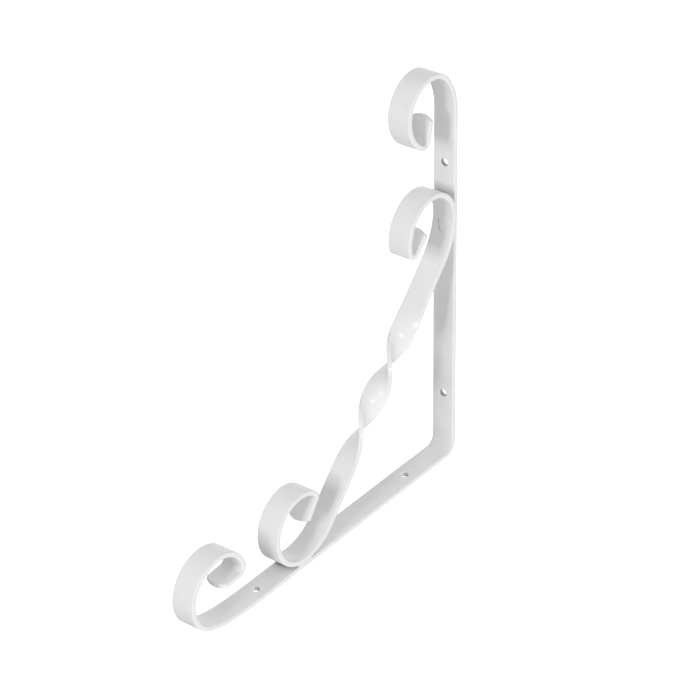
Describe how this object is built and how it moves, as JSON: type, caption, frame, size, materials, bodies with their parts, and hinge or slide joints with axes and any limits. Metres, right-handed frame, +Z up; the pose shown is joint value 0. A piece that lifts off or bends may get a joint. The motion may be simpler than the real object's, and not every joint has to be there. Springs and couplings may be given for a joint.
{
  "type": "decorative shelf bracket",
  "caption": "Right-angled shelf bracket in flat steel strip, with scrolled leg ends and a scrolled diagonal brace that is twisted in its middle.",
  "frame": {"origin": "on the wall leg's back face, on the centre line of the strip, midway between that leg's screw holes", "axes": "+Y into the wall that the bracket is fixed to, +Z up along the wall leg away from the corner, +X across the strips"},
  "size_m": [0.0137, 0.1968, 0.2101],
  "materials": {
    "powder_coat": "white satin-gloss powder coat on mild steel strip"
  },
  "bodies": {
    "root": {"angle_bar": "powder_coat", "brace_bar": "powder_coat"}
  },
  "joints": []
}
